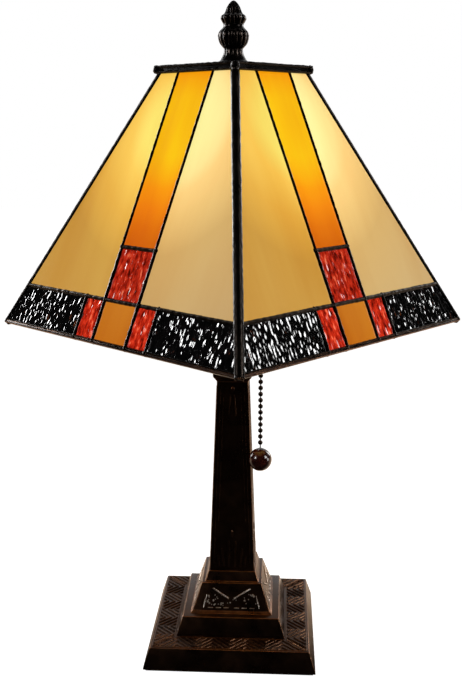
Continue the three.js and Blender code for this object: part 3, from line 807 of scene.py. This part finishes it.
def side_frame(foot_half, foot_z, top_half, top_z):
    """The frame of a sloping front face: x to the right, y up the slope, z out."""
    slope = Vector((0, foot_half - top_half, top_z - foot_z)).normalized()
    out = Vector((1, 0, 0)).cross(slope)
    stand = Matrix(((1, 0, 0), slope, out)).transposed().to_4x4()
    stand.translation = (0, -foot_half, foot_z)
    return stand


def block_relief():
    """Two raised strokes that meet low in the middle, over a pebbled ground."""
    chance = random.Random(4)
    parts = []
    for side in (-1, 1):
        parts.append(bar(
            (side * 14.5 * MM, 17.2 * MM, 0), (side * 2 * MM, 9.5 * MM, 0), 0.75 * MM, 0.8 * MM, sides=8,
        ))
        parts.append(bar(
            (side * 21.5 * MM, 2.4 * MM, 0), (side * 19 * MM, 12 * MM, 0), 0.4 * MM, 0.4 * MM, sides=8,
        ))
        for x in (4, 10, 16):
            parts.append(bar(
                (side * (x - 2) * MM, 2.4 * MM, 0), (side * (x + 2) * MM, 2.4 * MM, 0),
                0.5 * MM, 0.5 * MM, sides=8,
            ))
    for _ in range(46):
        x = chance.uniform(-19, 19)
        y = chance.uniform(4, 14)
        if y < 8.5 + 0.58 * abs(x):
            size = chance.uniform(0.4, 0.9) * MM
            parts.append(pebble((x * MM, y * MM, 0), (size, 1.3 * size, 0.6 * size), 1))
    return merged(*parts)


def make_pedestal():
    pedestal = softened(copied("base_pedestal"), 0.6 * MM, 3, 20)
    piece("pedestal_casting", pedestal, cast_bronze, "root", "cast_bronze", "base_pedestal")
    front = side_frame(BLOCK_FOOT, BLOCK_FOOT_Z, BLOCK_TOP, BLOCK_TOP_Z)
    relief = [
        placed(placed(block_relief(), front), Matrix.Rotation(side * QUARTER, 4, "Z"))
        for side in range(4)
    ]
    # The strokes' near-white crests are partly wear and partly a painted highlight.
    piece("pedestal_relief", merged(*relief), rubbed_bronze_with_painted_highlight, "root", "cast_bronze")


make_pedestal()

COLUMN_FOOT_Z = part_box("column")[0].z
COLUMN_FOOT = 17.4 * MM
COLUMN_HEAD = 11.8 * MM
SHAFT_HEIGHT = 150 * MM


def column_relief():
    """Panel lines up one face of the column, with blades at its foot and head."""
    parts = []
    taper = (COLUMN_FOOT - COLUMN_HEAD) / SHAFT_HEIGHT
    for side in (-1, 1):
        for inset, low, high in ((3.2, 6, 146), (5.6, 40, 138)):
            ends = [(side * (COLUMN_FOOT - taper * y * MM - inset * MM), y * MM, 0) for y in (low, high)]
            parts.append(bar(*ends, 0.35 * MM, 0.35 * MM, sides=8))
        for x, height, lean in ((2.2, 24, 0.6), (6.2, 18, 1.6), (9.6, 12, 1.2)):
            parts.append(bar(
                (side * x * MM, 3 * MM, 0), (side * (x + lean) * MM, height * MM, 0),
                0.9 * MM, 0.6 * MM, sides=8,
            ))
        parts.append(bar((side * 2.6 * MM, 124 * MM, 0), (side * 1.4 * MM, 140 * MM, 0), 0.6 * MM, 0.5 * MM))
    parts.append(pebble((0, 30 * MM, 0), (1.1 * MM, 3.2 * MM, 0.6 * MM)))
    parts.append(pebble((0, 144 * MM, 0), (1.5 * MM, 2.4 * MM, 0.7 * MM)))
    return merged(*parts)


def make_column():
    shaft = softened(copied("column"), 0.7 * MM, 3, 12)
    piece("column_casting", shaft, cast_bronze, "root", "cast_bronze", "column")
    front = side_frame(COLUMN_FOOT, COLUMN_FOOT_Z, COLUMN_HEAD, COLUMN_FOOT_Z + SHAFT_HEIGHT)
    relief = [
        placed(placed(column_relief(), front), Matrix.Rotation(side * QUARTER, 4, "Z"))
        for side in range(4)
    ]
    piece("column_relief", faded(merged(*relief), 0.35), cast_bronze, "root", "cast_bronze")


make_column()


def make_neck():
    low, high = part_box("column_neck")
    rim = high.x
    height = high.z - low.z
    bore = 5.5 * MM
    flank = smooth_profile([
        (rim, low.z + 0.03 * height), (rim, low.z + 0.12 * height), (0.78 * rim, low.z + 0.2 * height),
        (0.62 * rim, low.z + 0.38 * height), (0.62 * rim, low.z + 0.6 * height),
        (0.8 * rim, low.z + 0.78 * height), (0.95 * rim, low.z + 0.88 * height),
        (0.95 * rim, low.z + 0.98 * height),
    ])
    profile = [(bore, low.z), (rim - 0.4 * MM, low.z), *flank, (0.92 * rim, high.z), (bore, high.z)]
    piece("neck_turning", turned(profile), cast_bronze, "root", "cast_bronze", "column_neck")


make_neck()

# ---- harp, socket and bulb ----

HARP_FOOT_X = 31 * MM
WIRE = 1.8 * MM
PULL_REACH = 34.4 * MM           # of the chain from the lamp's axis
PULL_AZIMUTH = math.radians(-51.4)


def make_harp():
    low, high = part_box("harp")
    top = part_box("shade_cap")[1].z - 1.8 * MM
    belly = high.x - WIRE
    rise = top - 2 * MM - WIRE - low.z
    half = [
        (HARP_FOOT_X, 0), (HARP_FOOT_X, 14 * MM), (HARP_FOOT_X, 28 * MM), (belly, 0.46 * rise),
        (0.9 * belly, 0.68 * rise), (0.62 * belly, 0.88 * rise), (0.24 * belly, 0.985 * rise),
    ]
    right = [(x, 0, low.z + z) for x, z in half]
    left = [(-x, y, z) for x, y, z in reversed(right)]
    bow = swept([*right, (0, 0, low.z + rise), *left], WIRE)
    rest = turned([(0, top - 3.6 * MM), (7.4 * MM, top - 3.6 * MM), (8 * MM, top - 3 * MM),
                   (8 * MM, top - 0.5 * MM), (7.5 * MM, top), (0, top)])
    threads = []
    z = top - 1 * MM
    while z < high.z - 1.2 * MM:
        threads += [(2.7 * MM, z), (3.1 * MM, z + 0.4 * MM)]
        z += 0.8 * MM
    stud = turned([
        (0, top - 2 * MM), (2.7 * MM, top - 2 * MM), *threads, (2.2 * MM, high.z), (0, high.z),
    ], 24)
    piece("harp_bow", merged(bow, rest, stud), antique_brass, "root", "antique_brass", "harp")
    saddle = softened(copied("harp_saddle"), 0.35 * MM, 2, 40)
    piece("saddle_strip", saddle, antique_brass, "root", "antique_brass", "harp_saddle")
    for side in ("left", "right"):
        node = f"harp_ferrule_{side}"
        lo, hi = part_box(node)
        centre = (lo.x + hi.x) / 2
        outer = (hi.x - lo.x) / 2
        inner = WIRE + 0.4 * MM
        tube = turned([
            (inner, lo.z), (outer - 0.3 * MM, lo.z), (outer, lo.z + 0.3 * MM), (outer, lo.z + 2 * MM),
            (outer - 0.5 * MM, lo.z + 2.6 * MM), (outer - 0.5 * MM, hi.z - 2.6 * MM),
            (outer, hi.z - 2 * MM), (outer, hi.z - 0.3 * MM), (outer - 0.3 * MM, hi.z), (inner, hi.z),
        ], 32)
        bmesh.ops.translate(tube, vec=(centre, 0, 0), verts=tube.verts)
        piece(f"ferrule_tube_{side}", tube, antique_brass, f"ferrule_{side}", "antique_brass", node)


make_harp()


def make_socket():
    lo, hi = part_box("socket_cap")
    outer = hi.x
    wall = 0.8 * MM
    neck = 8.4 * MM
    bore = 5.4 * MM
    dome = smooth_profile([
        (neck, lo.z + 3.5 * MM), (0.8 * outer, lo.z + 6.5 * MM), (outer - 0.4 * MM, hi.z - 4.6 * MM),
        (outer, hi.z - 3 * MM),
    ], 5)
    inside = [(radius - wall, z - 0.3 * MM) for radius, z in reversed(dome[1:])]
    cap = turned([
        (bore, lo.z), (neck, lo.z), *dome, (outer, hi.z), (outer - wall, hi.z), *inside,
        (bore, lo.z + 4.5 * MM),
    ])
    piece("socket_dome", cap, antique_brass, "root", "antique_brass", "socket_cap")
    lo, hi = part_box("socket_shell")
    bulge = hi.x
    outer = bulge - 0.8 * MM
    shell = turned([
        (outer - wall, lo.z), (outer, lo.z), (outer, lo.z + 3 * MM), (outer + 0.4 * MM, lo.z + 3.8 * MM),
        (outer, lo.z + 4.6 * MM), (outer, hi.z - 5 * MM), (outer + 0.5 * MM, hi.z - 3.2 * MM),
        (bulge, hi.z - 2 * MM), (outer + 0.5 * MM, hi.z - 0.6 * MM), (outer, hi.z), (outer - wall, hi.z),
    ])
    piece("socket_sleeve", shell, antique_brass, "root", "antique_brass", "socket_shell")
    reach = PULL_REACH
    low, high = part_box("bell_mouth")
    bore = 3.2 * MM
    arm_z = high.z - 4.2 * MM
    start = outer + 0.5 * MM
    turn = Matrix.Rotation(PULL_AZIMUTH, 4, "Z")
    arm = swept([(start, 0, arm_z), (start + 4 * MM, 0, arm_z), (reach - 6 * MM, 0, arm_z),
                 (reach - 1.6 * MM, 0, arm_z - 2.4 * MM), (reach, 0, arm_z - 7.5 * MM),
                 (reach, 0, low.z + 1 * MM)], 4 * MM)
    lip = turned([
        (bore, low.z), (4.1 * MM, low.z), (4.4 * MM, low.z + 0.5 * MM), (4.4 * MM, low.z + 1.3 * MM),
        (4 * MM, low.z + 2 * MM), (bore, low.z + 2 * MM),
    ], 32)
    bmesh.ops.translate(lip, vec=(reach, 0, 0), verts=lip.verts)
    piece("chain_arm", placed(merged(arm, lip), turn), antique_brass, "root", "antique_brass", "bell_mouth")


make_socket()


def make_bulb():
    lo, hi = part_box("bulb_glass")
    head = BULB_RADIUS
    head_z = hi.z - head
    neck = 13.1 * MM
    flank = [(neck, lo.z)]
    count = 24
    for i in range(1, count):
        t = i / count
        ease = t * t * (3 - 2 * t)
        flank.append((neck + (head - neck) * ease ** 1.15, lo.z + (head_z - lo.z) * t))
    dome = [
        (head * math.cos(a), head_z + head * math.sin(a))
        for a in (QUARTER * i / 16 for i in range(17))
    ]
    outer = [*flank, *dome]
    wall = 1 * MM
    inner = [(max(0, radius - wall), z - (wall if z > head_z else 0)) for radius, z in reversed(outer)]
    bulb = turned([*outer, *inner])
    envelope = piece("bulb_envelope", bulb, frosted_bulb, "bulb", "bulb_glass", "bulb_glass")
    envelope.visible_shadow = False
    lo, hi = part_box("bulb_base")
    rim = hi.x
    profile = [(0, lo.z), (4.2 * MM, lo.z), (4.8 * MM, lo.z + 0.6 * MM), (5.4 * MM, lo.z + 1.2 * MM),
               (0.8 * rim, lo.z + 3.4 * MM), (rim - 0.5 * MM, lo.z + 4.6 * MM)]
    z = lo.z + 5 * MM
    pitch = 3.6 * MM
    while z < hi.z - 3.4 * MM:
        crest = rim - 0.15 * MM
        profile += [(rim - 0.9 * MM, z), (crest, z + 0.35 * pitch), (crest, z + 0.6 * pitch)]
        z += pitch
    profile += [(rim - 0.5 * MM, hi.z - 1.5 * MM), (rim - 0.2 * MM, hi.z), (0, hi.z)]
    piece("bulb_thread", turned(profile), zinc_steel, "bulb", "zinc_steel", "bulb_base")


make_bulb()

# ---- pull chain ----

PULL = Vector((PULL_REACH * math.cos(PULL_AZIMUTH), PULL_REACH * math.sin(PULL_AZIMUTH), 0))
BEAD = 1.85 * MM
BEAD_PITCH = 4.65 * MM


def beads(count, lowest, foot, head):
    parts = []
    for i in range(count):
        parts.append(pebble(PULL + Vector((0, 0, lowest + i * BEAD_PITCH)), (BEAD, BEAD, BEAD), 2))
    parts.append(bar(PULL + Vector((0, 0, foot)), PULL + Vector((0, 0, head)), 0.45 * MM, 0.45 * MM,
                     out=(1, 0, 0), sides=8))
    return merged(*parts)


def make_chain():
    lo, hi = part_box("chain_upper")
    upper = beads(9, lo.z + BEAD_PITCH / 2 - 0.15 * MM, lo.z, hi.z)
    piece("bead_run_upper", upper, chain_bronze, "pull_link", "chain_bronze", "chain_upper")
    lo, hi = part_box("chain_lower")
    lowest = hi.z + 0.15 * MM - 13.5 * BEAD_PITCH
    lower = beads(14, lowest, lo.z, hi.z)
    piece("bead_run_lower", lower, chain_bronze, "pull_chain", "chain_bronze", "chain_lower")
    lo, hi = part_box("pull_ball")
    radius = (hi.z - lo.z) / 2
    middle = lo.z + radius
    arc = [
        (radius * math.cos(a), middle + radius * math.sin(a))
        for a in (-QUARTER + math.radians(i * 5) for i in range(1, 33))
    ]
    ball = turned([(0, lo.z), *arc, (2.4 * MM, hi.z - 0.6 * MM), (2.2 * MM, hi.z - 0.1 * MM), (0, hi.z)])
    bmesh.ops.translate(ball, vec=PULL, verts=ball.verts)
    piece("ball_weight", ball, ball_lacquer, "pull_ball", "ball_brown", "pull_ball")


make_chain()

# ---- finial ----

def make_finial():
    lo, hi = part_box("finial")
    height = hi.z - lo.z
    bore = 3.5 * MM
    bore_depth = 12.3 * MM
    up = [
        (11.2, 0.0), (11.3, 0.035), (10.6, 0.055), (9.3, 0.08), (8.2, 0.125), (7.4, 0.165), (6.9, 0.21),
        (6.8, 0.26), (7.7, 0.285), (9.9, 0.35), (11.1, 0.455), (10.3, 0.525), (8.1, 0.58), (7.2, 0.61),
        (7.2, 0.645), (8.3, 0.69), (9.2, 0.735), (8.6, 0.78), (6.8, 0.81), (5.9, 0.845), (4.8, 0.91),
        (3.3, 0.965), (1.7, 1.005), (0.5, 1.02),
    ]
    flank = smooth_profile([(radius * MM, lo.z + share * height) for radius, share in up], 5)
    flank = [(max(radius, 0.2 * MM), z) for radius, z in flank]
    body = turned(
        [(bore, lo.z), *flank, (0, lo.z + 1.022 * height), (0, lo.z + bore_depth + 2 * MM),
         (bore, lo.z + bore_depth)], 128,
    )
    worn = worn_layer(body)
    for v in body.verts:
        share = (v.co.z - lo.z) / height
        angle = math.atan2(v.co.y, v.co.x)
        if math.hypot(v.co.x, v.co.y) < bore + 0.2 * MM and share < 0.35:
            continue
        carved = 0.0
        for low, high, lobes, turn, depth in (
            (0.12, 0.27, 4, 0.4, 0.10), (0.30, 0.57, 8, 0.0, 0.13), (0.65, 0.80, 5, 0.3, 0.24),
            (0.78, 1.01, 6, 0.0, 0.28),
        ):
            if low < share < high:
                t = (share - low) / (high - low)
                groove = 1 - abs(math.sin(lobes * angle + turn))
                carved = depth * groove ** 2 * math.sin(math.pi * t) ** 0.3
                v[worn] = 0.8 * (1 - groove) * math.sin(math.pi * t)
        v.co.x *= 1 - carved
        v.co.y *= 1 - carved
    piece("finial_casting", body, finial_bronze, "finial", "cast_bronze", "finial", crease=50)


make_finial()


# ---- frame nodes that show as they are ----

def dress(node, finish):
    """Gives a frame node its finish."""
    slots = nodes[node].data.materials
    slots.clear()
    slots.append(finish)


for node, finish in (
    ("base_felt", wool_felt), ("cord_bushing", moulded_phenolic), ("lamp_pipe", zinc_steel),
    ("base_nut", zinc_steel), ("socket_interior", moulded_phenolic),
):
    dress(node, finish)


# ---- studio ----

FLOOR_DROP = 0.2 * MM            # below the felt, which would otherwise lie in the floor's own plane
MIRRORED_GLOW = 0.9


def make_floor():
    """A pale floor that runs into the backdrop. What mirrors it sees its near part dark, so the
    lamp's front faces have nothing bright to mirror, and the part behind the lamp warm and bright."""
    bm = bmesh.new()
    bmesh.ops.create_grid(bm, x_segments=1, y_segments=1, size=4)
    bmesh.ops.translate(bm, vec=(0, 0, -FLOOR_DROP), verts=bm.verts)
    mesh = bpy.data.meshes.new("floor")
    bm.to_mesh(mesh)
    bm.free()
    floor = bpy.data.objects.new("floor", mesh)
    bpy.context.scene.collection.objects.link(floor)
    f = Finish("pale_floor", Roughness=1.0, Specular_IOR_Level=0.0)
    path = f.node("ShaderNodeLightPath").outputs
    along = f.node("ShaderNodeSeparateXYZ", {"Vector": f.place}).outputs["Y"]
    behind = f.node("ShaderNodeMapRange", {
        "Value": along, "From Min": -0.05, "From Max": 0.12,
    }).outputs["Result"]
    mirrored = f.math("MULTIPLY", path["Is Glossy Ray"], behind)
    glow = f.math("ADD", path["Is Camera Ray"], f.math("MULTIPLY", mirrored, MIRRORED_GLOW))
    pale = f.mix(path["Is Glossy Ray"], (0.45, 0.45, 0.45, 1), f.ramp(behind, [(0, 0.03), (1, 0.45)]))
    tone = f.mix(path["Is Glossy Ray"], (1, 1, 1, 1), (1, 0.68, 0.42, 1))
    mesh.materials.append(f.wire(Base_Color=pale, Emission_Color=tone, Emission_Strength=glow))


def make_backdrop():
    """White to the camera; it lights the lamp from behind and the sides, as a studio's sweep does."""
    world = bpy.data.worlds.new("studio")
    world.use_nodes = True
    tree = world.node_tree
    background = tree.nodes["Background"]
    seen = tree.nodes.new("ShaderNodeLightPath").outputs["Is Camera Ray"]
    direction = tree.nodes.new("ShaderNodeSeparateXYZ")
    tree.links.new(tree.nodes.new("ShaderNodeTexCoord").outputs["Generated"], direction.inputs["Vector"])
    sweep = tree.nodes.new("ShaderNodeMapRange")
    sweep.interpolation_type = "SMOOTHSTEP"
    tree.links.new(direction.outputs["Y"], sweep.inputs["Value"])
    for socket, value in (("From Min", 0.5), ("From Max", 0.8), ("To Min", 0.006), ("To Max", 0.8)):
        sweep.inputs[socket].default_value = value
    shade = tree.nodes.new("ShaderNodeMath")
    shade.operation = "MAXIMUM"
    tree.links.new(seen, shade.inputs[0])
    tree.links.new(sweep.outputs["Result"], shade.inputs[1])
    tree.links.new(shade.outputs["Value"], background.inputs["Strength"])
    background.inputs["Color"].default_value = (1, 1, 1, 1)
    bpy.context.scene.world = world


def softbox(name, place, size, watts, target=(0, 0, 0.33), spread=180):
    data = bpy.data.lights.new(name, "AREA")
    data.shape = "RECTANGLE"
    data.size, data.size_y = size
    data.energy = watts
    data.spread = math.radians(spread)
    light = bpy.data.objects.new(name, data)
    light.location = place
    light.rotation_euler = (Vector(target) - Vector(place)).to_track_quat("-Z", "Y").to_euler()
    light.visible_camera = False
    bpy.context.scene.collection.objects.link(light)


def make_bulb_light():
    data = bpy.data.lights.new("bulb_light", "POINT")
    data.energy = 0.9
    data.color = (1, 0.78, 0.45)
    data.shadow_soft_size = 26 * MM
    light = bpy.data.objects.new("bulb_light", data)
    light.location = BULB_CENTRE
    bpy.context.scene.collection.objects.link(light)


make_floor()
make_backdrop()
softbox("softbox_back_right", (0.9, 0.95, 0.62), (0.3, 0.7), 0.5, spread=50)
softbox("softbox_back_left", (-1.05, 0.72, 0.65), (0.4, 0.8), 1.6, spread=50)
softbox("softbox_side_right", (1.05, -0.4, 0.88), (0.4, 0.6), 0.6, spread=36)
softbox("softbox_side_left", (-1.05, -0.75, 0.85), (0.25, 0.45), 0.42, spread=36)
softbox("softbox_edge_right", (1.2, -0.1, 0.2), (0.12, 0.35), 0.35, target=(0, 0, 0.05), spread=60)
softbox("softbox_top", (0.1, 0.4, 1.7), (0.8, 0.8), 2)
make_bulb_light()
bpy.context.scene.view_settings.view_transform = "Standard"
